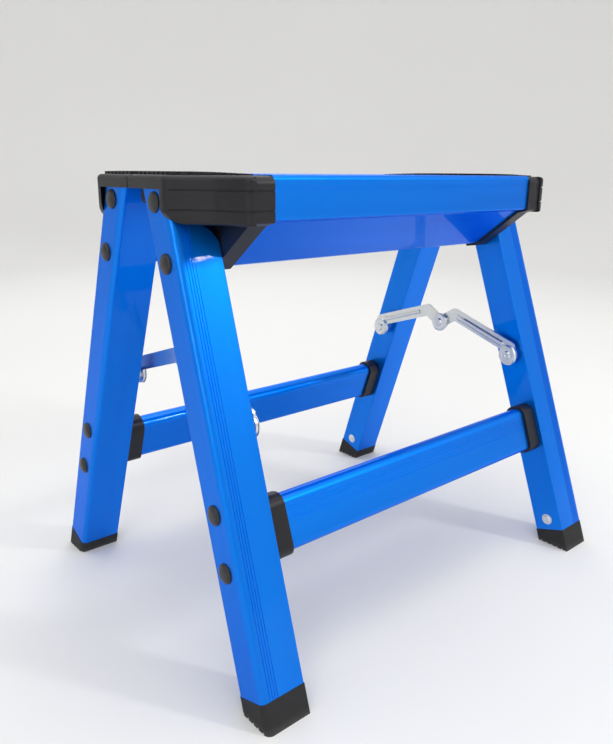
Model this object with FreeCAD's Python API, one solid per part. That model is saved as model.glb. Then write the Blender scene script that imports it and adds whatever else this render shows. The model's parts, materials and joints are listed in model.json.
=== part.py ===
import FreeCAD, Part

import math
import os

# A folding sawhorse: two hinged halves, each a wedge-section rail on two raking legs.
# Millimetres. +X runs along the rails, -Y is the front half, +Z is up, the floor is z = 0.
# Every piece of a half is shaped in the quadrant x > 0, y > 0 and mirrored to its place.

# ---- Driving dimensions ----------------------------------------------------------------

LEG_RAKE = 0.3478                 # run across Y per unit of height
LEG_SPLAY = 0.0236                # run along X per unit of height
LEG_FOOT_X = 284.4                # outer face of a leg at the floor
LEG_FOOT_Y = 232.3
LEG_WIDTH = 50.3                  # along X
LEG_DEPTH = 43.4                  # along Y, measured level
LEG_CORNER = 6.5
LEG_WALL = 2.0
LEG_TOP = 486.6
LEG_TOP_ROUND = 25.0
LEG_ROUND_Z = 430.0               # where the rounding of the inboard top corner starts
LEG_NOTCH = 16.0                  # how far the rounding cuts in, measured along X
FLUTE_INSETS = (9.0, 12.0, 15.0, 18.0)
FLUTE_WIDTH = 0.9
FLUTE_DEPTH = 0.5

HINGE_Z = 479.0
HALF_GAP = 0.2                    # from the middle plane to each half's closing edge

DECK_Z = 500.4
CAP_TOP = 499.4
GRIP_TOP = 502.6                  # the highest rib, next to the hinge line

RAIL_END = 202.5
RAIL_FRONT = 138.0
RAIL_FACE_BOTTOM = 459.5
RAIL_LIP = (125.0, 457.0)
RAIL_SLOPE_END = (66.0, 412.0)
RAIL_TIP = (51.0, 409.0)
RAIL_CORNER = 5.0
RAIL_WALL = 2.2
FACE_LINES = (486.9, 489.7)       # heights of the fine lines along the rail's front face
DECK_GROOVE_START = 14.0
DECK_GROOVE_PITCH = 10.5
DECK_GROOVES = 11

CAP_LIP = 3.0                     # how far a cap's collar stands proud of the rail
CAP_END = 277.0
CAP_CORNER_Y = 70.0               # where the end face turns into the raking panel
CAP_BEND = (244.0, 108.0)         # where the raking panel turns towards the front face
CAP_FRONT_X = 232.5               # where the front face ends
CAP_COLLAR_END = 223.5
CAP_TOP_FILLET = 5.0
CAP_BOTTOM_FILLET = 2.5
PANEL_START = 224.0
PANEL_PROUD = 1.8
PANEL_CORNER = 8.0
SKIRT_BOTTOM = 455.5
SKIRT_CORNER = 16.0
SKIRT_WALL = 5.0
SKIRT_INNER_X = 230.9             # outboard face of the web between the skirt's hollow and the collar
SKIRT_FRONT_Y = 127.5             # the end of the hollow behind the front face
SKIRT_GROOVES = (485.7, 468.0)
SKIRT_GROOVE_WIDTH = 1.5
SKIRT_GROOVE_DEPTH = 1.3
HINGE_ROOM_Y = 20.0               # nothing hangs below the top plate nearer the hinge than this
PLUG_INTO_RAIL = 14.0
PLUG_FLOOR = 3.0                  # wall of the hollow plugs

GRIP_RIB_START = 8.0
GRIP_RIB_PITCH = 8.5
GRIP_RIB_WIDTH = 4.5
GRIP_RIBS = 14
GRIP_RIB_LEAST = 0.5              # height of a rib out at the front face
GRIP_INSET = 8.0

RUNG_CENTRE = 172.8               # distance up the leg's slope
RUNG_HEIGHT = 58.0
RUNG_DEPTH = 23.0
RUNG_TOP_CORNER = 10.0
RUNG_BOTTOM_CORNER = 7.0
RUNG_END = 208.5
RUNG_WALL = 2.0
RUNG_FLUTES = (2.0, 6.0, 10.0, 13.5, 17.0)
COLLAR_PROUD = 3.6

FOOT_SEAM_Z = 28.5                # on the leg's outer face
FOOT_PROUD = 0.5
FOOT_PLUG = 34.0
TREADS = 5
TREAD_START = 6.0
TREAD_PITCH = 8.0
TREAD_WIDTH = 3.4
TREAD_DEPTH = 2.2

RIVET_HEAD_R = 10.0
RIVET_SHANK_R = 2.4
CAP_RIVET_Z = (474.4, 418.4)
RUNG_RIVET_CENTRE = 174.0         # distance up the leg's slope
RUNG_RIVET_OFFSET = 28.0
FOOT_RIVET_Z = 36.0

PIVOT_Z = 261.0
MID_PIVOT_Z = 288.5
LINK_WIDTH = 17.5
LINK_START = (0.5, 10.8)           # where the long run starts, from the leg pivot (Y, Z)
LINK_BEND = (24.0, 14.5)           # where it bends, from the middle pivot (Y, Z)
LINK_PIVOT_EYE_R = 13.2
LINK_MIDDLE_EYE_R = 12.0
CHANNEL_SPACING = 5.8
CHANNEL_RADIUS = 1.8
CHANNEL_DEPTH = 1.1
WASHER_THICKNESS = 1.4
PIVOT_WASHER_R = 14.0
MIDDLE_WASHER_R = 13.5
BUSH_R = 9.0
CROWN = (8.0, 3.0)                 # radius and height of a steel rivet's crown
LINK_THICKNESS = 3.0
LINK_LAYERS = {"front": 222.0, "back": 218.7}     # outboard face of each link plate
PIVOT_SHANK_R = 4.0
RUNNING_CLEARANCE = 0.05
FACE_GAP = 0.3
FIT_GAP = 0.15

PIN_RADIUS = 3.0
KNUCKLE_RADIUS = 7.2
KNUCKLE_START = 208.0
KNUCKLE_PITCH = 10.4
KNUCKLE_LENGTH = 10.0
KNUCKLES = {"front": (0, 2, 4), "back": (1, 3)}
PIN_START = KNUCKLE_START - 1.0
PIN_END = KNUCKLE_START + 4 * KNUCKLE_PITCH + 7.5   # inside the outermost knuckle, which is blind

# ---- Derived sizes ---------------------------------------------------------------------

SLOPE = math.atan(LEG_RAKE)
SPLAY = math.atan(LEG_SPLAY)
COS_SLOPE = math.cos(SLOPE)
SIN_SLOPE = math.sin(SLOPE)

V = FreeCAD.Vector
X_AXIS = V(1, 0, 0)
Y_AXIS = V(0, 1, 0)
Z_AXIS = V(0, 0, 1)
ORIGIN = V(0, 0, 0)


def leg_outer_x(z):
    return LEG_FOOT_X - LEG_SPLAY * z


def leg_inner_x(z):
    return leg_outer_x(z) - LEG_WIDTH


def leg_outer_y(z):
    return LEG_FOOT_Y - LEG_RAKE * z


def leg_inner_y(z):
    return leg_outer_y(z) - LEG_DEPTH


def leg_middle_y(z):
    return leg_outer_y(z) - LEG_DEPTH / 2


# ---- Outlines and primitive solids -----------------------------------------------------

def rounded_wire(corners, place):
    """A closed wire through corners (u, v, radius); place maps (u, v) to a point."""
    count = len(corners)
    starts = []
    ends = []
    middles = []
    for index in range(count):
        u, v, radius = corners[index]
        here = V(u, v, 0)
        before = V(*corners[index - 1][:2], 0) - here
        after = V(*corners[(index + 1) % count][:2], 0) - here
        before.normalize()
        after.normalize()
        half = before.getAngle(after) / 2
        if radius == 0:
            starts.append(here)
            ends.append(here)
            middles.append(None)
            continue
        reach = radius / math.tan(half)
        inward = before + after
        inward.normalize()
        starts.append(here + before * reach)
        ends.append(here + after * reach)
        middles.append(here + inward * (radius / math.sin(half) - radius))
    edges = []
    for index in range(count):
        if middles[index] is not None:
            points = [starts[index], middles[index], ends[index]]
            edges.append(Part.Arc(*[place(p.x, p.y) for p in points]).toShape())
        following = starts[(index + 1) % count]
        if ends[index].distanceToPoint(following) > 1e-6:
            line = Part.LineSegment(place(ends[index].x, ends[index].y), place(following.x, following.y))
            edges.append(line.toShape())
    return Part.Wire(edges)


def plan_prism(corners, z0, z1, grow=0.0):
    """A level outline (x, y, radius), offset outwards by grow, drawn up from z0 to z1."""
    wire = rounded_wire(corners, lambda u, v: V(u, v, z0))
    if grow != 0:
        wire = wire.makeOffset2D(grow, join=2)
    return Part.Face(wire).extrude(V(0, 0, z1 - z0))


def side_prism(corners, x0, x1):
    """An outline (y, z, radius) drawn along X from x0 to x1."""
    wire = rounded_wire(corners, lambda u, v: V(x0, u, v))
    return Part.Face(wire).extrude(V(x1 - x0, 0, 0))


def box(x0, x1, y0, y1, z0, z1):
    return Part.makeBox(x1 - x0, y1 - y0, z1 - z0, V(x0, y0, z0))


def dome(radius, height, point, direction):
    """A spherical cap standing on a round base at point."""
    ball = (radius ** 2 + height ** 2) / (2 * height)
    half_angle = math.asin(radius / ball)
    arc_middle = V(ball * math.sin(half_angle / 2), 0, ball * math.cos(half_angle / 2) - ball + height)
    edges = [
        Part.LineSegment(V(0, 0, 0), V(radius, 0, 0)).toShape(),
        Part.Arc(V(radius, 0, 0), arc_middle, V(0, 0, height)).toShape(),
        Part.LineSegment(V(0, 0, height), V(0, 0, 0)).toShape(),
    ]
    cap = Part.Face(Part.Wire(edges)).revolve(ORIGIN, Z_AXIS, 360)
    cap.Placement = FreeCAD.Placement(point, FreeCAD.Rotation(Z_AXIS, direction))
    return cap


def fuse_all(shapes):
    joined = shapes[0].multiFuse(shapes[1:]) if len(shapes) > 1 else shapes[0]
    return joined.removeSplitter()


def cut_all(shape, tools):
    return shape.cut(Part.makeCompound(tools))


# ---- Legs and feet ---------------------------------------------------------------------

def leg_prism(grow, z0, z1):
    """The leg's raking envelope between two levels, grown outwards by grow."""
    x1 = leg_outer_x(z0) + grow
    x0 = leg_inner_x(z0) - grow
    y1 = leg_outer_y(z0) + grow
    y0 = leg_inner_y(z0) - grow
    corner = max(LEG_CORNER + grow, 1.0)
    outline = [(x0, y0, 1.0), (x1, y0, corner), (x1, y1, corner), (x0, y1, 1.0)]
    wire = rounded_wire(outline, lambda u, v: V(u, v, z0))
    rise = z1 - z0
    return Part.Face(wire).extrude(V(-LEG_SPLAY * rise, -LEG_RAKE * rise, rise))


def below_seam():
    """The half space under the foot's seam, which is square to the leg."""
    top_y = leg_outer_y(FOOT_SEAM_Z)
    reach = 120.0
    outline = [
        (top_y - reach * COS_SLOPE, FOOT_SEAM_Z - reach * SIN_SLOPE, 0),
        (top_y + reach * COS_SLOPE, FOOT_SEAM_Z + reach * SIN_SLOPE, 0),
        (top_y + reach, -reach, 0),
        (top_y - reach, -reach, 0),
    ]
    return side_prism(outline, 200.0, 320.0)


def leg_top_round():
    """The corner that is rounded away from a leg's inboard top."""
    edge_x = leg_inner_x(LEG_ROUND_Z)
    notch = box(edge_x - 20, edge_x + LEG_NOTCH, -20, 140, LEG_ROUND_Z, LEG_TOP + 20)
    centre = V(edge_x + LEG_TOP_ROUND, -40, LEG_ROUND_Z)
    return notch.cut(Part.makeCylinder(LEG_TOP_ROUND, 200, centre, Y_AXIS))


def leg_flutes():
    """Fine grooves along the outer face of a leg, near its outboard corner."""
    length = LEG_TOP + 20
    y1 = leg_outer_y(0)
    y0 = y1 - FLUTE_DEPTH
    tools = []
    for inset in FLUTE_INSETS:
        x1 = leg_outer_x(0) - inset
        x0 = x1 - FLUTE_WIDTH
        outline = [(x0, y0, 0), (x1, y0, 0), (x1, y1 + 1, 0), (x0, y1 + 1, 0)]
        wire = rounded_wire(outline, lambda u, v: V(u, v, 0))
        tools.append(Part.Face(wire).extrude(V(-LEG_SPLAY * length, -LEG_RAKE * length, length)))
    return tools


def leg_face_point(z, outboard):
    """The middle of the leg's outboard or inboard face at height z."""
    x = leg_outer_x(z) if outboard else leg_inner_x(z)
    return V(x, leg_middle_y(z), z)


def leg_face_normal(outboard):
    normal = V(math.cos(SPLAY), 0, math.sin(SPLAY))
    return normal if outboard else normal * -1


def rung_rivet_z():
    return [(RUNG_RIVET_CENTRE + side * RUNG_RIVET_OFFSET) * COS_SLOPE for side in (1, -1)]


def rivet_holes(radius):
    """Clearance holes along every rivet that passes through the leg from outboard."""
    holes = []
    for z in list(CAP_RIVET_Z) + rung_rivet_z():
        start = leg_face_point(z, True) + leg_face_normal(True) * 2
        holes.append(Part.makeCylinder(radius, 64, start, leg_face_normal(True) * -1))
    return holes


def make_leg():
    tube = leg_prism(0, 0, LEG_TOP).cut(leg_prism(-LEG_WALL, -10, LEG_TOP + 10))
    tools = [below_seam(), leg_top_round()] + leg_flutes() + rivet_holes(RIVET_SHANK_R + FIT_GAP)
    foot_start = leg_face_point(FOOT_RIVET_Z, False) + leg_face_normal(False) * 2
    tools.append(Part.makeCylinder(RIVET_SHANK_R + FIT_GAP, 10, foot_start, leg_face_normal(True)))
    pivot_start = V(leg_inner_x(PIVOT_Z) - 2, leg_middle_y(PIVOT_Z), PIVOT_Z)
    tools.append(Part.makeCylinder(PIVOT_SHANK_R + FIT_GAP, 10, pivot_start, X_AXIS))
    return cut_all(tube, tools)


def make_foot():
    shoe = leg_prism(FOOT_PROUD, 0, 80).common(below_seam())
    plug_top = FOOT_SEAM_Z + FOOT_PLUG
    plug = leg_prism(-LEG_WALL - FIT_GAP, 5, plug_top)
    plug = plug.cut(leg_prism(-LEG_WALL - PLUG_FLOOR - 2, 22, plug_top + 5))
    treads = []
    for index in range(TREADS):
        y = leg_outer_y(0) - TREAD_START - index * TREAD_PITCH
        treads.append(box(200, 320, y - TREAD_WIDTH, y, -5, TREAD_DEPTH))
    foot = cut_all(fuse_all([shoe, plug]), treads)
    start = leg_face_point(FOOT_RIVET_Z, False) + leg_face_normal(False) * 2
    return foot.cut(Part.makeCylinder(RIVET_SHANK_R + FIT_GAP, 20, start, leg_face_normal(True)))


# ---- Rails and caps --------------------------------------------------------------------

def wedge_corners(proud):
    """The wedge section of a rail, grown by proud on the sides that show."""
    inner_offset = 1.0 - proud * 0.25
    top = DECK_Z if proud == 0 else CAP_TOP
    return [
        (HALF_GAP, top, 1.0),
        (RAIL_FRONT + proud * 0.8, top, RAIL_CORNER + proud),
        (RAIL_FRONT + proud * 0.8, RAIL_FACE_BOTTOM - proud * 0.5, 2.5),
        (RAIL_LIP[0] + proud * 0.4, RAIL_LIP[1] - proud * 0.9, 2.0),
        (RAIL_SLOPE_END[0], RAIL_SLOPE_END[1] - proud * 1.2, 3.0),
        (RAIL_TIP[0] - proud * 0.6, RAIL_TIP[1] - proud, 1.5),
        (leg_inner_y(LEG_TOP) + inner_offset, LEG_TOP, 2.0),
        (HALF_GAP, LEG_TOP, 1.0),
    ]


def wedge_prism(proud, inset, x0, x1):
    """The wedge section drawn along X, shrunk all round by inset."""
    wire = rounded_wire(wedge_corners(proud), lambda u, v: V(x0, u, v))
    face = Part.Face(wire)
    if inset > 0:
        face = Part.Face(wire.makeOffset2D(-inset, join=2))
    return face.extrude(V(x1 - x0, 0, 0))


def deck_grooves():
    """Shallow grip grooves along the deck and two fine lines along the front face."""
    tools = []
    for index in range(DECK_GROOVES):
        y = DECK_GROOVE_START + index * DECK_GROOVE_PITCH
        tools.append(box(-250, 250, y, y + 2.2, DECK_Z - 0.8, DECK_Z + 5))
    for z in FACE_LINES:
        tools.append(box(-250, 250, RAIL_FRONT - FLUTE_DEPTH, RAIL_FRONT + 5, z, z + FLUTE_WIDTH))
    return tools


def make_rail():
    solid = wedge_prism(0, 0, -RAIL_END, RAIL_END)
    hollow = wedge_prism(0, RAIL_WALL, -RAIL_END - 5, RAIL_END + 5)
    return cut_all(solid.cut(hollow), deck_grooves())


def cap_outline():
    """The plan of a cap outboard of its collar: end face, raking panel, front face."""
    front = RAIL_FRONT + CAP_LIP * 0.8 + PANEL_PROUD
    return [
        (RAIL_END + 4, HALF_GAP, 0),
        (CAP_END, HALF_GAP, 2.0),
        (CAP_END, CAP_CORNER_Y, 9.0),
        (*CAP_BEND, 20.0),
        (CAP_FRONT_X, front, 8.0),
        (RAIL_END + 4, front, 0),
    ]


def raking_wall_y(x):
    """The inner face of the skirt's raking wall."""
    slope = (CAP_BEND[1] - CAP_CORNER_Y) / (CAP_BEND[0] - CAP_END)
    return CAP_CORNER_Y - SKIRT_WALL * math.hypot(1, slope) + slope * (x - CAP_END)


def skirt_void():
    """The hollow under a cap's top plate, open at the end so that the legs pass out."""
    bend_x = CAP_BEND[0] - SKIRT_WALL
    far_x = CAP_END + 20
    outline = [
        (PANEL_START - 1, -5, 0),
        (far_x, -5, 0),
        (far_x, raking_wall_y(far_x), 0),
        (bend_x, raking_wall_y(bend_x), 12.0),
        (SKIRT_INNER_X, SKIRT_FRONT_Y, 0),
        (SKIRT_INNER_X, HINGE_ROOM_Y, 0),
        (PANEL_START - 1, HINGE_ROOM_Y, 0),
    ]
    return plan_prism(outline, SKIRT_BOTTOM - 60, LEG_TOP)


def skirt_grooves():
    """Two lines round the side panel, carried on across the collar's front."""
    collar_face = RAIL_FRONT + CAP_LIP * 0.8
    tools = []
    for z in SKIRT_GROOVES:
        top = z + SKIRT_GROOVE_WIDTH
        ring = plan_prism(cap_outline(), z, top, 3.0)
        ring = ring.cut(plan_prism(cap_outline(), z - 1, top + 1, -SKIRT_GROOVE_DEPTH))
        tools.append(ring.common(box(PANEL_START - 2, CAP_END - 4, 60, 160, z - 1, top + 1)))
        tools.append(box(RAIL_END - 1, PANEL_START + 1, collar_face - 0.8, collar_face + 5, z, top))
    return tools


def skirt_corner_round():
    """The lower outboard corner of the skirt, rounded where it meets the leg."""
    x = CAP_END - SKIRT_CORNER
    z = SKIRT_BOTTOM + SKIRT_CORNER
    square = box(x, x + SKIRT_CORNER + 5, 40, 120, z - SKIRT_CORNER - 5, z)
    return square.cut(Part.makeCylinder(SKIRT_CORNER, 120, V(x, 20, z), Y_AXIS))


def panel_corner_rounds():
    """The rounded ends of the raised panel, where it stands proud of the collar."""
    face = RAIL_FRONT + CAP_LIP * 0.8
    x = PANEL_START + PANEL_CORNER
    reach = PANEL_CORNER + 4
    tools = []
    for z, turn in ((SKIRT_BOTTOM + PANEL_CORNER, -1), (CAP_TOP - PANEL_CORNER, 1)):
        low, high = sorted((z, z + turn * reach))
        square = box(x - PANEL_CORNER - 1, x, face, face + 10, low, high)
        tools.append(square.cut(Part.makeCylinder(PANEL_CORNER, 40, V(x, face - 10, z), Y_AXIS)))
    return tools


def grip_ribs():
    """Flat-topped ribs on top of a cap, lower towards the front so that the top is crowned."""
    outline_room = plan_prism(cap_outline(), CAP_TOP - 2, GRIP_TOP + 2, -GRIP_INSET)
    least = CAP_TOP + GRIP_RIB_LEAST
    ribs = []
    for index in range(GRIP_RIBS):
        y0 = GRIP_RIB_START + index * GRIP_RIB_PITCH
        y1 = y0 + GRIP_RIB_WIDTH
        share = (y0 - GRIP_RIB_START) / RAIL_FRONT
        top = least + (GRIP_TOP - least) * (1 - share ** 2)
        outline = [(RAIL_END + 6, y0, 2.0), (CAP_END, y0, 0), (CAP_END, y1, 0), (RAIL_END + 6, y1, 2.0)]
        ribs.append(plan_prism(outline, CAP_TOP - 1, top).common(outline_room))
    return ribs


def knuckles(half):
    """The hinge barrels under a cap's top plate, each with its web to the plate."""
    barrels = []
    for slot in KNUCKLES[half]:
        x = KNUCKLE_START + slot * KNUCKLE_PITCH
        barrel = Part.makeCylinder(KNUCKLE_RADIUS, KNUCKLE_LENGTH, V(x, 0, HINGE_Z), X_AXIS)
        web = box(x, x + KNUCKLE_LENGTH, HALF_GAP, HINGE_ROOM_Y - 4, HINGE_Z, LEG_TOP + 1)
        barrels.append(barrel.fuse(web))
    return barrels


def outer_edges(block, z):
    """The level edges of a cap's block at height z, apart from those against the other half and rail."""
    edges = []
    for edge in block.Edges:
        bounds = edge.BoundBox
        level = abs(bounds.ZMin - z) < 0.01 and abs(bounds.ZMax - z) < 0.01
        if level and bounds.YMax > 30 and bounds.XMax > RAIL_END + 5:
            edges.append(edge)
    return edges


def make_cap(half):
    block = plan_prism(cap_outline(), SKIRT_BOTTOM, CAP_TOP)
    block = block.makeFillet(CAP_TOP_FILLET, outer_edges(block, CAP_TOP))
    block = block.makeFillet(CAP_BOTTOM_FILLET, outer_edges(block, SKIRT_BOTTOM))
    block = block.common(box(PANEL_START, CAP_END + 5, 0, 200, 400, 520))
    block = cut_all(block, panel_corner_rounds())
    collar = wedge_prism(CAP_LIP, 0, RAIL_END, CAP_COLLAR_END)
    shoulder = wedge_prism(CAP_LIP, 0, CAP_COLLAR_END - 1, PANEL_START + 1)
    shoulder = shoulder.common(box(200, 240, -1, 200, SKIRT_BOTTOM, 520))
    shell = fuse_all([block, collar, shoulder])
    pocket = wedge_prism(0, RAIL_WALL + PLUG_FLOOR, RAIL_END - PLUG_INTO_RAIL - 6, CAP_COLLAR_END - 4)
    shell = cut_all(shell, [skirt_void(), skirt_corner_round(), pocket] + skirt_grooves())
    shell = shell.cut(leg_prism(FIT_GAP, 380, LEG_TOP).cut(leg_top_round()))
    rail_plug = wedge_prism(0, RAIL_WALL + FIT_GAP, RAIL_END - PLUG_INTO_RAIL, RAIL_END + 1).cut(pocket)
    leg_plug = leg_prism(-LEG_WALL - FIT_GAP, 396, LEG_TOP + 1).cut(leg_top_round())
    cap = fuse_all([shell, rail_plug, leg_plug] + grip_ribs() + knuckles(half))
    bore = PIN_RADIUS if half == "front" else PIN_RADIUS + RUNNING_CLEARANCE
    holes = [Part.makeCylinder(bore, PIN_END + FIT_GAP - 200, V(200, 0, HINGE_Z), X_AXIS)]
    return cut_all(cap, holes + rivet_holes(RIVET_SHANK_R + FIT_GAP))


# ---- Rungs -----------------------------------------------------------------------------

def rung_place(x):
    """Maps (across the rung's depth, up the slope) to a point at x."""
    middle_z = RUNG_CENTRE * COS_SLOPE
    middle_y = leg_middle_y(middle_z)

    def place(u, v):
        y = middle_y + u * COS_SLOPE - v * SIN_SLOPE
        z = middle_z + u * SIN_SLOPE + v * COS_SLOPE
        return V(x, y, z)

    return place


def rung_prism(grow, x0, x1):
    half_depth = RUNG_DEPTH / 2 + grow
    half_height = RUNG_HEIGHT / 2 + grow
    top = RUNG_TOP_CORNER + grow
    bottom = RUNG_BOTTOM_CORNER + grow
    outline = [
        (-half_depth, -half_height, bottom),
        (half_depth, -half_height, bottom),
        (half_depth, half_height, top),
        (-half_depth, half_height, top),
    ]
    wire = rounded_wire(outline, rung_place(x0))
    return Part.Face(wire).extrude(V(x1 - x0, 0, 0))


def rung_flutes():
    """Fine grooves along the rung's outer face, near its top edge."""
    outer = RUNG_DEPTH / 2 + 5
    floor = RUNG_DEPTH / 2 - FLUTE_DEPTH
    tools = []
    for v in RUNG_FLUTES:
        top = v + FLUTE_WIDTH
        outline = [(floor, v, 0), (outer, v, 0), (outer, top, 0), (floor, top, 0)]
        wire = rounded_wire(outline, rung_place(-250))
        tools.append(Part.Face(wire).extrude(V(500, 0, 0)))
    return tools


def make_rung():
    tube = rung_prism(0, -RUNG_END, RUNG_END).cut(rung_prism(-RUNG_WALL, -RUNG_END - 5, RUNG_END + 5))
    return cut_all(tube, rung_flutes())


def make_rung_collar():
    ring = rung_prism(COLLAR_PROUD, RUNG_END, 235.0).cut(leg_prism(0.02, 100, 260))
    plug = rung_prism(-RUNG_WALL - FIT_GAP, RUNG_END - PLUG_INTO_RAIL, RUNG_END + 1)
    pocket = rung_prism(-RUNG_WALL - PLUG_FLOOR, RUNG_END - PLUG_INTO_RAIL - 6, RUNG_END + 15)
    return cut_all(fuse_all([ring, plug]), [pocket] + rivet_holes(RIVET_SHANK_R + FIT_GAP))


# ---- Rivets, pins and the spreader -----------------------------------------------------

def outboard_rivet(z, length):
    """A domed rivet on the leg's outboard face, its shank running inboard."""
    normal = leg_face_normal(True)
    seat = leg_face_point(z, True) + normal * 0.02
    rim = Part.makeCylinder(RIVET_HEAD_R, 1.2, seat, normal)
    crown = dome(RIVET_HEAD_R - 0.8, 3.0, seat + normal * 1.2, normal)
    shank = Part.makeCylinder(RIVET_SHANK_R, length, seat + normal * 0.5, normal * -1)
    return fuse_all([rim, crown, shank])


def make_cap_rivets():
    return Part.makeCompound([outboard_rivet(z, 56.0) for z in CAP_RIVET_Z])


def make_rung_rivets():
    return Part.makeCompound([outboard_rivet(z, 60.0) for z in rung_rivet_z()])


def make_foot_rivet():
    normal = leg_face_normal(False)
    seat = leg_face_point(FOOT_RIVET_Z, False) + normal * 0.02
    washer = Part.makeCylinder(7.5, 1.0, seat, normal)
    crown = dome(4.5, 1.8, seat + normal, normal)
    shank = Part.makeCylinder(RIVET_SHANK_R, 8.0, seat + normal * 0.5, normal * -1)
    return fuse_all([washer, crown, shank])


def make_pivot_spacer(half):
    """A bush between the leg's inboard face and the spreader link."""
    y = leg_middle_y(PIVOT_Z)
    x0 = LINK_LAYERS[half] + FACE_GAP
    bush = Part.makeCylinder(BUSH_R, 16, V(x0, y, PIVOT_Z), X_AXIS)
    hole = Part.makeCylinder(PIVOT_SHANK_R + FIT_GAP, 40, V(x0 - 5, y, PIVOT_Z), X_AXIS)
    return bush.cut(leg_prism(0.02, 200, 320)).cut(hole)


def make_pivot_rivet(half):
    """The headed pin that a spreader link turns on, closed inside the leg."""
    y = leg_middle_y(PIVOT_Z)
    head_x = LINK_LAYERS[half] - LINK_THICKNESS - FACE_GAP
    tail_x = leg_inner_x(PIVOT_Z) + LEG_WALL + 0.6
    inward = X_AXIS * -1
    washer = Part.makeCylinder(PIVOT_WASHER_R, WASHER_THICKNESS, V(head_x, y, PIVOT_Z), inward)
    crown = dome(*CROWN, V(head_x - WASHER_THICKNESS, y, PIVOT_Z), inward)
    shank = Part.makeCylinder(PIVOT_SHANK_R, tail_x - head_x + 1, V(head_x - 0.5, y, PIVOT_Z), X_AXIS)
    tail = Part.makeCylinder(7.0, 2.5, V(tail_x, y, PIVOT_Z), X_AXIS)
    return fuse_all([washer, crown, shank, tail])


def capsule(start, end, radius, x0, x1):
    """A round-ended bar between two (y, z) points."""
    along = V(0, end[0] - start[0], end[1] - start[1])
    side = V(0, -along.z, along.y)
    side.normalize()
    side = side * radius
    a = V(x0, *start)
    b = V(x0, *end)
    wire = Part.makePolygon([a + side, b + side, b - side, a - side, a + side])
    bar = Part.Face(wire).extrude(V(x1 - x0, 0, 0))
    ends = [Part.makeCylinder(radius, x1 - x0, p, X_AXIS) for p in (a, b)]
    return [bar] + ends


def make_link(half):
    """A ribbed, cranked spreader link from its leg pivot to the middle pivot."""
    pivot = (leg_middle_y(PIVOT_Z), PIVOT_Z)
    middle = (0.0, MID_PIVOT_Z)
    bar_start = (pivot[0] + LINK_START[0], pivot[1] + LINK_START[1])
    bend = (LINK_BEND[0], MID_PIVOT_Z + LINK_BEND[1])
    x1 = LINK_LAYERS[half]
    x0 = x1 - LINK_THICKNESS
    solids = capsule(bar_start, bend, LINK_WIDTH / 2, x0, x1)
    solids += capsule(bend, middle, LINK_WIDTH / 2, x0, x1)
    solids.append(Part.makeCylinder(LINK_PIVOT_EYE_R, LINK_THICKNESS, V(x0, *pivot), X_AXIS))
    solids.append(Part.makeCylinder(LINK_MIDDLE_EYE_R, LINK_THICKNESS, V(x0, *middle), X_AXIS))
    link = fuse_all(solids)
    holes = [
        Part.makeCylinder(PIVOT_SHANK_R + RUNNING_CLEARANCE, 20, V(x0 - 5, *pivot), X_AXIS),
        Part.makeCylinder(PIVOT_SHANK_R + FIT_GAP, 20, V(x0 - 5, *middle), X_AXIS),
    ]
    run = V(0, bend[0] - bar_start[0], bend[1] - bar_start[1])
    across = V(0, -run.z, run.y)
    across.normalize()
    channels = []
    for side in (-CHANNEL_SPACING / 2, CHANNEL_SPACING / 2):
        near = V(0, *bar_start) + run * 0.13 + across * side
        far = V(0, *bar_start) + run * 0.93 + across * side
        channels += capsule((near.y, near.z), (far.y, far.z), CHANNEL_RADIUS, x0 - 1, x0 + CHANNEL_DEPTH)
    return cut_all(link, holes + channels)


def make_mid_rivet(half):
    """Half of the middle pivot: a head and the stub of shank inside its own link."""
    point = V(LINK_LAYERS[half], 0, MID_PIVOT_Z)
    if half == "front":
        head = Part.makeCylinder(11.0, 1.6, point, X_AXIS)
        stub = Part.makeCylinder(PIVOT_SHANK_R, LINK_THICKNESS + 0.5, point + X_AXIS * 0.5, X_AXIS * -1)
        return fuse_all([head, stub])
    face = point - X_AXIS * LINK_THICKNESS
    washer = Part.makeCylinder(MIDDLE_WASHER_R, WASHER_THICKNESS, face, X_AXIS * -1)
    crown = dome(*CROWN, face - X_AXIS * WASHER_THICKNESS, X_AXIS * -1)
    stub = Part.makeCylinder(PIVOT_SHANK_R, LINK_THICKNESS + 0.5, face - X_AXIS * 0.5, X_AXIS)
    return fuse_all([washer, crown, stub])


def make_hinge_pin():
    return Part.makeCylinder(PIN_RADIUS, PIN_END - PIN_START, V(PIN_START, 0, HINGE_Z), X_AXIS)


# ---- Placing and writing ---------------------------------------------------------------

def placed(shape, half, side):
    """Mirrors a quadrant shape to the front or back half and the left or right end."""
    if half == "front":
        shape = shape.mirror(ORIGIN, Y_AXIS)
    if side == "left":
        shape = shape.mirror(ORIGIN, X_AXIS)
    return shape


def build_nodes():
    nodes = {}
    shared = {
        "leg": make_leg(),
        "foot": make_foot(),
        "rung_collar": make_rung_collar(),
        "cap_rivets": make_cap_rivets(),
        "rung_rivets": make_rung_rivets(),
        "foot_rivet": make_foot_rivet(),
    }
    rail = make_rail()
    rung = make_rung()
    for half in ("front", "back"):
        nodes[half + "_rail"] = placed(rail, half, "right")
        nodes[half + "_rung"] = placed(rung, half, "right")
        pieces = dict(shared)
        pieces["cap"] = make_cap(half)
        pieces["pivot_spacer"] = make_pivot_spacer(half)
        pieces["pivot_rivet"] = make_pivot_rivet(half)
        pieces["link"] = make_link(half)
        pieces["mid_rivet"] = make_mid_rivet(half)
        for name, shape in pieces.items():
            for side in ("left", "right"):
                nodes[half + "_" + name + "_" + side] = placed(shape, half, side)
    pin = make_hinge_pin()
    for side in ("left", "right"):
        nodes["hinge_pin_" + side] = placed(pin, "back", side)
    return nodes


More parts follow.
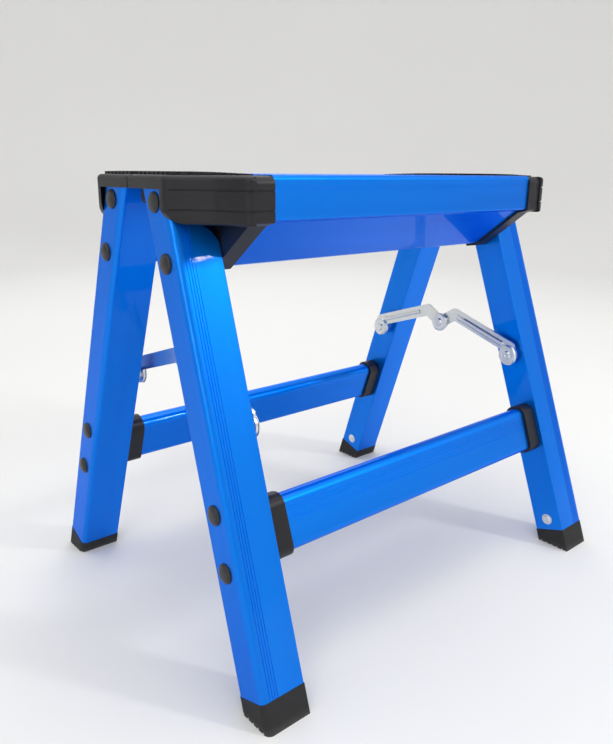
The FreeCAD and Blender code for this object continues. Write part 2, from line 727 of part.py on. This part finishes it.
def main():
    os.makedirs("parts", exist_ok=True)
    for name, shape in build_nodes().items():
        solids = len(shape.Solids)
        print(f"{name:28s} solids {solids} volume {shape.Volume / 1000:9.2f} cm3 valid {shape.isValid()}")
        shape.exportStep(os.path.join("parts", name + ".step"))


main()
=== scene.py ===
import json
import math

import bmesh
import bpy
from mathutils import Matrix, Vector

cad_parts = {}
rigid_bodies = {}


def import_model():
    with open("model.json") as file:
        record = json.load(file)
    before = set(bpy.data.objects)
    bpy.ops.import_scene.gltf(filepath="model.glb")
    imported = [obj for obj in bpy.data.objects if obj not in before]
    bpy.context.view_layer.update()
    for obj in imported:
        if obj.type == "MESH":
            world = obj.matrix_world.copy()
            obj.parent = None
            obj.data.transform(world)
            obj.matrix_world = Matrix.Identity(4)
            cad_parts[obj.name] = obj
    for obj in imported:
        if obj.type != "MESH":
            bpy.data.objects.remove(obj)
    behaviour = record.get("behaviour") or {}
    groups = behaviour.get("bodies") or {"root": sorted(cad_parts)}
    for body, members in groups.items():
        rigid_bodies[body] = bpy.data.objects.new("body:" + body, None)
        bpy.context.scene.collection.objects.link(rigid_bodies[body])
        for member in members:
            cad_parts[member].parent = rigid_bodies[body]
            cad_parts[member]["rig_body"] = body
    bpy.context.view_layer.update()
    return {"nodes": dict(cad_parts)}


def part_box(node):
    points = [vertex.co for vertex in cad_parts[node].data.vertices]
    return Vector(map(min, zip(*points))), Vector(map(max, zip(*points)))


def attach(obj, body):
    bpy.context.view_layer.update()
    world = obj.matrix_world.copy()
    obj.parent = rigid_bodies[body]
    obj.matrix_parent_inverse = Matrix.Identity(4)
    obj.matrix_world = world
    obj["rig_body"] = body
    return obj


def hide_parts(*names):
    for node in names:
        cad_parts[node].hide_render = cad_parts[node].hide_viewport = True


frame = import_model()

# The looks of the folding sawhorse. Lengths are metres, in the frame's own axes.

MM = 0.001
HALVES = ("front", "back")
SIDES = ("left", "right")
HALF_SIGN = {"front": -1, "back": 1}
SIDE_SIGN = {"left": -1, "right": 1}

LEG_SPLAY = 0.0236        # a leg's run along X per unit of height
LEG_RAKE = 0.3478         # a leg's run along Y per unit of height
X_AXIS = Vector((1, 0, 0))
Z_AXIS = Vector((0, 0, 1))


# ---- Camera ----------------------------------------------------------------------------

CAMERA_PLACE = Vector((-0.5966, -0.6503, 0.5031))
CAMERA_YAW = 0.8674       # radians from +X towards +Y
CAMERA_PITCH = 0.2810     # radians below level
CAMERA_ROLL = 0.0084
CAMERA_LENS = 33.56
CAMERA_SENSOR = 36.0


def make_camera():
    level = Vector((math.cos(CAMERA_YAW), math.sin(CAMERA_YAW), 0))
    forward = level * math.cos(CAMERA_PITCH) - Z_AXIS * math.sin(CAMERA_PITCH)
    right = Vector((math.sin(CAMERA_YAW), -math.cos(CAMERA_YAW), 0))
    up = right.cross(forward)
    rolled_right = right * math.cos(CAMERA_ROLL) + up * math.sin(CAMERA_ROLL)
    rolled_up = up * math.cos(CAMERA_ROLL) - right * math.sin(CAMERA_ROLL)
    camera = bpy.data.objects.new("camera", bpy.data.cameras.new("camera"))
    camera.data.lens = CAMERA_LENS
    camera.data.sensor_width = CAMERA_SENSOR
    camera.data.clip_start = 0.01
    turn = Matrix((rolled_right, rolled_up, -forward)).transposed()
    camera.matrix_world = Matrix.Translation(CAMERA_PLACE) @ turn.to_4x4()
    bpy.context.scene.collection.objects.link(camera)
    bpy.context.scene.camera = camera


# ---- Material building -----------------------------------------------------------------

class Finish:
    """A Principled material with short helpers for the nodes that feed it."""

    def __init__(self, name, **sockets):
        self.material = bpy.data.materials.new(name)
        self.material.use_nodes = True
        self.tree = self.material.node_tree
        self.shader = self.tree.nodes["Principled BSDF"]
        for socket, value in sockets.items():
            self.shader.inputs[socket.replace("_", " ")].default_value = value

    def add(self, kind, **settings):
        node = self.tree.nodes.new(kind)
        for name, value in settings.items():
            setattr(node, name, value)
        return node

    def link(self, output, target):
        self.tree.links.new(output, target)

    def place(self, stretch=(1, 1, 1), grain=False):
        """Texture coordinates in metres: the frame's axes, or the piece's own grain."""
        if grain:
            source = self.add("ShaderNodeAttribute", attribute_name="grain").outputs["Vector"]
        else:
            source = self.add("ShaderNodeTexCoord").outputs["Object"]
        mapping = self.add("ShaderNodeMapping")
        mapping.inputs["Scale"].default_value = stretch
        self.link(source, mapping.inputs["Vector"])
        return mapping.outputs["Vector"]

    def noise(self, vector, scale, detail=3.0, roughness=0.5):
        node = self.add("ShaderNodeTexNoise")
        node.inputs["Scale"].default_value = scale
        node.inputs["Detail"].default_value = detail
        node.inputs["Roughness"].default_value = roughness
        self.link(vector, node.inputs["Vector"])
        return node.outputs["Fac"]

    def cells(self, vector, scale):
        node = self.add("ShaderNodeTexVoronoi")
        node.inputs["Scale"].default_value = scale
        self.link(vector, node.inputs["Vector"])
        return node.outputs["Distance"]

    def ramp(self, value, stops):
        """A colour ramp from (position, colour or grey) stops."""
        node = self.add("ShaderNodeValToRGB")
        elements = node.color_ramp.elements
        while len(elements) < len(stops):
            elements.new(0.5)
        for element, (position, colour) in zip(elements, stops):
            element.position = position
            grey = isinstance(colour, (int, float))
            element.color = (colour, colour, colour, 1) if grey else (*colour, 1)
        self.link(value, node.inputs["Fac"])
        return node.outputs["Color"]

    def bump(self, height, strength, distance, after=None):
        node = self.add("ShaderNodeBump")
        node.inputs["Strength"].default_value = strength
        node.inputs["Distance"].default_value = distance
        self.link(height, node.inputs["Height"])
        if after is not None:
            self.link(after, node.inputs["Normal"])
        return node.outputs["Normal"]

    def feed(self, **sources):
        for socket, output in sources.items():
            self.link(output, self.shader.inputs[socket.replace("_", " ")])
        return self.material


def blue_coat():
    """Glossy blue coating over an extrusion, with faint die lines along its length."""
    finish = Finish(
        "blue_coat", Metallic=0.88, IOR=1.45, Specular_Tint=(0.03, 0.45, 1.0, 1),
        Coat_Weight=0.28, Coat_Roughness=0.03,
    )
    lines = finish.noise(finish.place((4, 1100, 1100), grain=True), 1.0, 2.0)
    broad = finish.noise(finish.place((2.5, 26, 26), grain=True), 1.0, 2.0)
    peel = finish.noise(finish.place(), 420.0, 2.0)
    colour = finish.ramp(broad, [(0.3, (0.0, 0.185, 0.80)), (0.7, (0.0, 0.215, 0.88))])
    gloss = finish.ramp(lines, [(0.2, 0.38), (0.8, 0.46)])
    normal = finish.bump(lines, 0.10, 0.04 * MM)
    normal = finish.bump(peel, 0.05, 0.05 * MM, after=normal)
    return finish.feed(Base_Color=colour, Roughness=gloss, Normal=normal, Coat_Normal=normal)


def black_plastic():
    """A spark-textured black moulding."""
    finish = Finish("black_plastic", IOR=1.46, Specular_IOR_Level=0.42)
    where = finish.place()
    fine = finish.noise(where, 2600.0, 4.0, 0.6)
    pits = finish.cells(where, 1500.0)
    cloud = finish.noise(where, 22.0, 3.0)
    colour = finish.ramp(cloud, [(0.3, (0.007, 0.007, 0.010)), (0.75, (0.012, 0.012, 0.016))])
    gloss = finish.ramp(fine, [(0.25, 0.36), (0.75, 0.50)])
    normal = finish.bump(pits, 0.25, 0.10 * MM)
    normal = finish.bump(fine, 0.30, 0.10 * MM, after=normal)
    return finish.feed(Base_Color=colour, Roughness=gloss, Normal=normal)


def black_rubber():
    """Matte rubber, a little dusty near the floor."""
    finish = Finish("black_rubber", IOR=1.5)
    where = finish.place()
    fine = finish.noise(where, 1800.0, 4.0, 0.65)
    height = finish.add("ShaderNodeSeparateXYZ")
    finish.link(where, height.inputs["Vector"])
    dust = finish.add("ShaderNodeMapRange")
    dust.inputs["From Min"].default_value = 0.0
    dust.inputs["From Max"].default_value = 7 * MM
    dust.inputs["To Min"].default_value = 0.35
    dust.inputs["To Max"].default_value = 0.0
    finish.link(height.outputs["Z"], dust.inputs["Value"])
    patch = finish.add("ShaderNodeMath", operation="MULTIPLY")
    finish.link(dust.outputs["Result"], patch.inputs[0])
    finish.link(finish.noise(where, 160.0, 5.0, 0.7), patch.inputs[1])
    colour = finish.ramp(patch.outputs["Value"], [(0.0, (0.011, 0.011, 0.012)), (0.35, (0.07, 0.068, 0.065))])
    gloss = finish.ramp(fine, [(0.2, 0.66), (0.8, 0.86)])
    normal = finish.bump(fine, 0.35, 0.12 * MM)
    return finish.feed(Base_Color=colour, Roughness=gloss, Normal=normal)


def zinc_plate():
    """Bright zinc plating on pressed steel, faintly mottled."""
    finish = Finish("zinc_plate", Metallic=1.0)
    where = finish.place()
    mottle = finish.noise(where, 90.0, 2.0, 0.5)
    rolled = finish.noise(finish.place((600, 60, 600)), 1.0, 3.0)
    colour = finish.ramp(mottle, [(0.3, (0.70, 0.73, 0.745)), (0.7, (0.75, 0.78, 0.79))])
    gloss = finish.ramp(mottle, [(0.25, 0.27), (0.75, 0.34)])
    normal = finish.bump(rolled, 0.03, 0.03 * MM)
    return finish.feed(Base_Color=colour, Roughness=gloss, Normal=normal)


def black_rivet():
    """Satin black rivet heads, faintly mottled."""
    finish = Finish("black_rivet", IOR=1.5)
    where = finish.place()
    rub = finish.noise(where, 700.0, 4.0, 0.65)
    colour = finish.ramp(rub, [(0.35, (0.010, 0.010, 0.012)), (0.8, (0.022, 0.022, 0.026))])
    gloss = finish.ramp(rub, [(0.3, 0.30), (0.8, 0.46)])
    normal = finish.bump(rub, 0.12, 0.06 * MM)
    return finish.feed(Base_Color=colour, Roughness=gloss, Normal=normal)


# ---- Mesh helpers ----------------------------------------------------------------------

SOFT_ANGLE = math.radians(30)     # edges sharper than this are rounded, and shaded as sharp
FLAT_ANGLE = math.radians(0.6)    # faces nearer to level than this are joined into one
WELD = 0.002 * MM                 # points nearer than this are one point


def new_piece(name, mesh, material, body):
    """Links a finished mesh as a piece that rides on a body."""
    piece = bpy.data.objects.new(name, mesh)
    bpy.context.scene.collection.objects.link(piece)
    mesh.materials.clear()
    mesh.materials.append(material)
    mesh.shade_smooth()
    mesh.set_sharp_from_angle(angle=SOFT_ANGLE)
    weighted = piece.modifiers.new("weighted", "WEIGHTED_NORMAL")
    weighted.keep_sharp = True
    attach(piece, body)
    return piece


def softened_mesh(node, width):
    """A copy of a node's mesh, cleaned into flat faces, with its sharp edges rounded."""
    work = bmesh.new()
    work.from_mesh(frame["nodes"][node].data)
    bmesh.ops.remove_doubles(work, verts=work.verts, dist=WELD)
    bmesh.ops.dissolve_limit(work, angle_limit=FLAT_ANGLE, verts=work.verts, edges=work.edges)
    sharp = [e for e in work.edges if e.is_manifold and e.calc_face_angle(0) > SOFT_ANGLE]
    bmesh.ops.bevel(
        work, geom=sharp, offset=width, segments=2, profile=0.6,
        affect="EDGES", clamp_overlap=True,
    )
    mesh = bpy.data.meshes.new(node + "_soft")
    work.to_mesh(mesh)
    work.free()
    return mesh


def mark_grain(mesh, along):
    """Stores each point as (along the extrusion, across, across) for the die lines."""
    along = along.normalized()
    across = along.cross(Vector((0, 1, 0))).normalized()
    third = along.cross(across)
    grain = mesh.attributes.new("grain", "FLOAT_VECTOR", "POINT")
    values = []
    for vertex in mesh.vertices:
        values += [vertex.co.dot(along), vertex.co.dot(across), vertex.co.dot(third)]
    grain.data.foreach_set("vector", values)


def soften_node(node, material, width, along=None):
    """Replaces a node with a copy of itself whose edges are rounded."""
    mesh = softened_mesh(node, width)
    if along is not None:
        mark_grain(mesh, along)
    body = frame["nodes"][node]["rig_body"]
    piece = new_piece(node + "_finished", mesh, material, body)
    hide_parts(node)
    return piece


def lathe_mesh(name, profile, place, axis, segments=56):
    """Turns (radius, height) points in millimetres about an axis through place."""
    work = bmesh.new()
    rings = []
    for radius, height in profile:
        if radius == 0:
            rings.append([work.verts.new((0, 0, height * MM))])
            continue
        ring = []
        for step in range(segments):
            angle = 2 * math.pi * step / segments
            x = radius * MM * math.cos(angle)
            y = radius * MM * math.sin(angle)
            ring.append(work.verts.new((x, y, height * MM)))
        rings.append(ring)
    for lower, upper in zip(rings, rings[1:]):
        for step in range(segments):
            following = (step + 1) % segments
            if len(lower) == 1:
                work.faces.new((lower[0], upper[step], upper[following]))
            elif len(upper) == 1:
                work.faces.new((lower[step], upper[0], lower[following]))
            else:
                work.faces.new((lower[step], upper[step], upper[following], lower[following]))
    bmesh.ops.recalc_face_normals(work, faces=work.faces)
    turn = Z_AXIS.rotation_difference(axis).to_matrix().to_4x4()
    work.transform(Matrix.Translation(place) @ turn)
    mesh = bpy.data.meshes.new(name)
    work.to_mesh(mesh)
    work.free()
    return mesh


def joined(name, meshes):
    """One mesh holding several."""
    work = bmesh.new()
    for mesh in meshes:
        work.from_mesh(mesh)
    whole = bpy.data.meshes.new(name)
    work.to_mesh(whole)
    work.free()
    return whole


def arc_points(radius, height, steps, start=0.0):
    """A quarter-ellipse profile from the crown (0, start + height) out to (radius, start)."""
    points = []
    for step in range(steps + 1):
        angle = 0.5 * math.pi * step / steps
        points.append((radius * math.sin(angle), start + height * math.cos(angle)))
    points[0] = (0, start + height)
    return points


# ---- Legs, rails, rungs, caps and feet -------------------------------------------------

def leg_direction(half, side):
    return Vector((-SIDE_SIGN[side] * LEG_SPLAY, -HALF_SIGN[half] * LEG_RAKE, 1))


def make_extrusions(coat):
    for half in HALVES:
        soften_node(half + "_rail", coat, 0.35 * MM, along=X_AXIS)
        soften_node(half + "_rung", coat, 0.3 * MM, along=X_AXIS)
        for side in SIDES:
            soften_node(f"{half}_leg_{side}", coat, 0.3 * MM, along=leg_direction(half, side))


def make_mouldings(plastic, rubber):
    for half in HALVES:
        for side in SIDES:
            soften_node(f"{half}_cap_{side}", plastic, 0.5 * MM)
            soften_node(f"{half}_rung_collar_{side}", plastic, 0.9 * MM)
            soften_node(f"{half}_foot_{side}", rubber, 0.7 * MM)


# ---- Rivets ----------------------------------------------------------------------------

def middle(node):
    low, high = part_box(node)
    return (low + high) / 2


def leg_face_normal(side):
    """The outward normal of a leg's outboard face."""
    return Vector((SIDE_SIGN[side], 0, LEG_SPLAY)).normalized()


def solid_boxes(node):
    """The box of each separate solid in a node, highest first."""
    work = bmesh.new()
    work.from_mesh(frame["nodes"][node].data)
    bmesh.ops.remove_doubles(work, verts=work.verts, dist=WELD)
    left = set(work.verts)
    boxes = []
    while left:
        group = {left.pop()}
        front = list(group)
        while front:
            vertex = front.pop()
            for edge in vertex.link_edges:
                other = edge.other_vert(vertex)
                if other in left:
                    left.discard(other)
                    group.add(other)
                    front.append(other)
        low = Vector([min(v.co[i] for v in group) for i in range(3)])
        high = Vector([max(v.co[i] for v in group) for i in range(3)])
        boxes.append((low, high))
    work.free()
    return sorted(boxes, key=lambda pair: -pair[0].z)


# Head profiles are (radius, height) points in millimetres, from the crown out and down the shank.
# A rise is how far a head's seat lies behind the outermost point of the CAD head it replaces.
BLACK_HEAD_RISE = 4.2 * MM
FOOT_HEAD_RISE = 2.75 * MM
STEEL_HEAD_RISE = 4.4 * MM
BLACK_HEAD_REACH = 10.1 * MM      # from a black head's lowest point up to its middle

BLACK_HEAD = (
    arc_points(8.7, 2.5, 9, 1.7)
    + [(9.0, 1.45), (9.35, 1.55), (9.8, 1.35), (10.0, 0.9), (10.0, 0.05), (2.4, 0.05), (2.4, -6.0), (0, -6.0)]
)
FOOT_HEAD = [
    (0, 2.0), (1.0, 2.1), (2.0, 2.6), (3.2, 2.7), (4.2, 2.2), (4.7, 1.4), (5.4, 1.15),
    (6.9, 1.05), (7.4, 0.75), (7.5, 0.05), (2.4, 0.05), (2.4, -5.0), (0, -5.0),
]
PIVOT_HEAD = [
    (0, 3.3), (1.2, 3.4), (2.2, 4.2), (3.6, 4.4), (4.8, 4.0), (5.5, 3.0), (6.0, 2.1), (7.2, 1.9),
    (8.6, 2.3), (10.4, 2.6), (12.2, 2.2), (13.4, 1.4), (14.0, 0.6), (13.9, 0.0),
    (4.0, 0.0), (4.0, -3.0), (0, -3.0),
]
MID_HEAD = [
    (0, 2.4), (1.4, 2.5), (2.6, 3.3), (4.2, 3.4), (5.4, 2.7), (6.1, 1.7), (7.4, 1.5), (9.0, 1.9),
    (11.0, 2.0), (12.5, 1.6), (13.3, 0.9), (13.5, 0.3), (13.4, 0.0), (4.0, 0.0), (4.0, -2.5), (0, -2.5),
]


def outboard_heads(node, side):
    """Domed heads on a leg's outboard face, one for each solid of the node."""
    normal = leg_face_normal(side)
    meshes = []
    for low, high in solid_boxes(node):
        outer_x = high.x if side == "right" else low.x
        crown = Vector((outer_x, (low.y + high.y) / 2, low.z + BLACK_HEAD_REACH))
        seat = crown - normal * BLACK_HEAD_RISE
        meshes.append(lathe_mesh(node + "_head", BLACK_HEAD, seat, normal))
    return joined(node + "_heads", meshes)


def make_rivets(black, zinc):
    for half in HALVES:
        for side in SIDES:
            body = half + "_frame"
            for kind in ("cap_rivets", "rung_rivets"):
                node = f"{half}_{kind}_{side}"
                piece = new_piece(node + "_domed", outboard_heads(node, side), black, body)
                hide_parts(node)
            node = f"{half}_foot_rivet_{side}"
            low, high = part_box(node)
            inner_x = low.x if side == "right" else high.x
            normal = -leg_face_normal(side)
            seat = Vector((inner_x, middle(node).y, middle(node).z)) - normal * FOOT_HEAD_RISE
            head = lathe_mesh(node, FOOT_HEAD, seat, normal)
            piece = new_piece(node + "_domed", head, zinc, body)
            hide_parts(node)


# ---- Spreaders -------------------------------------------------------------------------

LINK_START = (0.5 * MM, 10.8 * MM)    # the long run's start, from the leg pivot (Y, Z)
LINK_BEND = (24.0 * MM, 14.5 * MM)    # the bend, from the middle pivot (Y, Z)
LINK_SOFTNESS = 0.5 * MM
BEAD_SPAN = (0.12, 0.82)              # where the raised bead starts and ends along the long run
BEAD_RADIUS = 2.6 * MM
BEAD_HEIGHT = 1.5 * MM

def bead_mesh(name, start, end, radius, height, face_x, outward):
    """A long round-ended bead raised from a link's face, between two (y, z) points."""
    along = Vector((0, end[0] - start[0], end[1] - start[1]))
    length = along.length
    along.normalize()
    across = along.cross(X_AXIS)
    origin = Vector((face_x, start[0], start[1]))
    rings = 7
    half_turn = 10
    work = bmesh.new()
    previous = None
    for ring in range(rings + 1):
        share = ring / rings
        rise = height * math.sqrt(max(0.0, 1 - share * share)) - 0.2 * MM * (ring == rings)
        points = []
        for end_index, centre in enumerate((length, 0.0)):
            for step in range(half_turn + 1):
                angle = math.pi * (step / half_turn - 0.5) + math.pi * end_index
                u = centre + radius * share * math.cos(angle)
                v = radius * share * math.sin(angle)
                points.append(work.verts.new(origin + along * u + across * v + X_AXIS * outward * rise))
        count = len(points)
        if previous:
            for index in range(count):
                following = (index + 1) % count
                work.faces.new((previous[index], previous[following], points[following], points[index]))
        previous = points
    work.faces.new(previous)
    bmesh.ops.remove_doubles(work, verts=work.verts, dist=0.001 * MM)
    bmesh.ops.recalc_face_normals(work, faces=work.faces)
    mesh = bpy.data.meshes.new(name)
    work.to_mesh(mesh)
    work.free()
    return mesh


def make_spreaders(zinc):
    for half in HALVES:
        for side in SIDES:
            body = f"{half}_spreader_{side}"
            node = f"{half}_link_{side}"
            low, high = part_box(node)
            inward = -SIDE_SIGN[side]
            face_x = low.x if side == "right" else high.x
            pivot = middle(f"{half}_pivot_rivet_{side}")
            sign = HALF_SIGN[half]
            mid_z = middle(f"{half}_mid_rivet_{side}").z
            bar_start = (pivot.y + sign * LINK_START[0], pivot.z + LINK_START[1])
            bend = (sign * LINK_BEND[0], mid_z + LINK_BEND[1])
            near, far = (
                [a + (b - a) * share for a, b in zip(bar_start, bend)] for share in BEAD_SPAN
            )
            bead = bead_mesh(node + "_bead", near, far, BEAD_RADIUS, BEAD_HEIGHT, face_x, inward)
            whole = joined(node + "_pressed", [softened_mesh(node, LINK_SOFTNESS), bead])
            piece = new_piece(node + "_pressed", whole, zinc, body)
            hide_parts(node)
            make_pivot_heads(half, side, zinc, Vector((inward, 0, 0)))


def make_pivot_heads(half, side, zinc, inward):
    node = f"{half}_pivot_rivet_{side}"
    low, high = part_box(node)
    head_x = (low.x if side == "right" else high.x) - inward.x * STEEL_HEAD_RISE
    seat = Vector((head_x, middle(node).y, middle(node).z))
    head = lathe_mesh(node, PIVOT_HEAD, seat, inward)
    piece = new_piece(node + "_domed", head, zinc, half + "_frame")
    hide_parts(node)
    if half == "back":
        node = f"back_mid_rivet_{side}"
        low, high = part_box(node)
        head_x = (low.x if side == "right" else high.x) - inward.x * STEEL_HEAD_RISE
        seat = Vector((head_x, 0, middle(node).z))
        body = f"back_spreader_{side}"
        piece = new_piece(node + "_domed", lathe_mesh(node, MID_HEAD, seat, inward), zinc, body)
        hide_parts(node)


def finish_plain_nodes(zinc):
    """Small turned steel pieces keep their own shape."""
    plain = ["hinge_pin_left", "hinge_pin_right"]
    for side in SIDES:
        plain.append("front_mid_rivet_" + side)
        for half in HALVES:
            plain.append(f"{half}_pivot_spacer_{side}")
    for node in plain:
        mesh = frame["nodes"][node].data
        mesh.materials.clear()
        mesh.materials.append(zinc)


# ---- Studio ----------------------------------------------------------------------------

def make_studio():
    """A round seamless sweep under soft lights."""
    floor_radius = 3.0
    curve = 1.4
    wall_top = 4.5
    profile = [(0, 0), (floor_radius * 0.3, 0), (floor_radius, 0)]
    for step in range(1, 13):
        angle = 0.5 * math.pi * step / 12
        profile.append((floor_radius + curve * math.sin(angle), curve * (1 - math.cos(angle))))
    profile.append((floor_radius + curve, wall_top))
    millimetres = [(r / MM, h / MM) for r, h in profile]
    mesh = lathe_mesh("sweep", millimetres, Vector((0, 0, 0)), Z_AXIS, segments=96)
    mesh.flip_normals()
    mesh.shade_smooth()
    sweep = bpy.data.objects.new("sweep", mesh)
    bpy.context.scene.collection.objects.link(sweep)
    paper = Finish("paper_sweep", Roughness=0.85)
    tone = paper.noise(paper.place(), 0.8, 2.0)
    colour = paper.ramp(tone, [(0.3, (0.75, 0.748, 0.742)), (0.7, (0.77, 0.768, 0.76))])
    mesh.materials.append(paper.feed(Base_Color=colour))


def make_light(name, place, target, size, power, colour=(1, 1, 1)):
    light = bpy.data.lights.new(name, "AREA")
    light.shape = "RECTANGLE"
    light.size, light.size_y = size
    light.energy = power
    light.color = colour
    holder = bpy.data.objects.new(name, light)
    holder.location = place
    holder.rotation_euler = (Vector(target) - Vector(place)).to_track_quat("-Z", "Y").to_euler()
    bpy.context.scene.collection.objects.link(holder)


def make_lights():
    top = (0, 0, 0.3)
    make_light("overhead", (0.0, 0.0, 3.4), top, (4.2, 4.2), 74)
    make_light("window", (-2.4, -1.7, 1.7), top, (1.3, 1.9), 18, (0.97, 0.985, 1.0))
    make_light("glint", (1.16, -1.92, 1.75), top, (0.22, 0.42), 15)
    make_light("back", (1.5, 2.4, 1.6), top, (1.8, 1.4), 10)
    world = bpy.data.worlds.new("studio_air")
    world.use_nodes = True
    world.node_tree.nodes["Background"].inputs["Color"].default_value = (1.0, 0.995, 0.985, 1)
    world.node_tree.nodes["Background"].inputs["Strength"].default_value = 0.72
    bpy.context.scene.world = world
    bpy.context.scene.view_settings.view_transform = "Standard"


# ---- Everything ------------------------------------------------------------------------

make_camera()
coat = blue_coat()
plastic = black_plastic()
rubber = black_rubber()
zinc = zinc_plate()
rivet_black = black_rivet()
make_extrusions(coat)
make_mouldings(plastic, rubber)
make_rivets(rivet_black, zinc)
make_spreaders(zinc)
finish_plain_nodes(zinc)
make_studio()
make_lights()
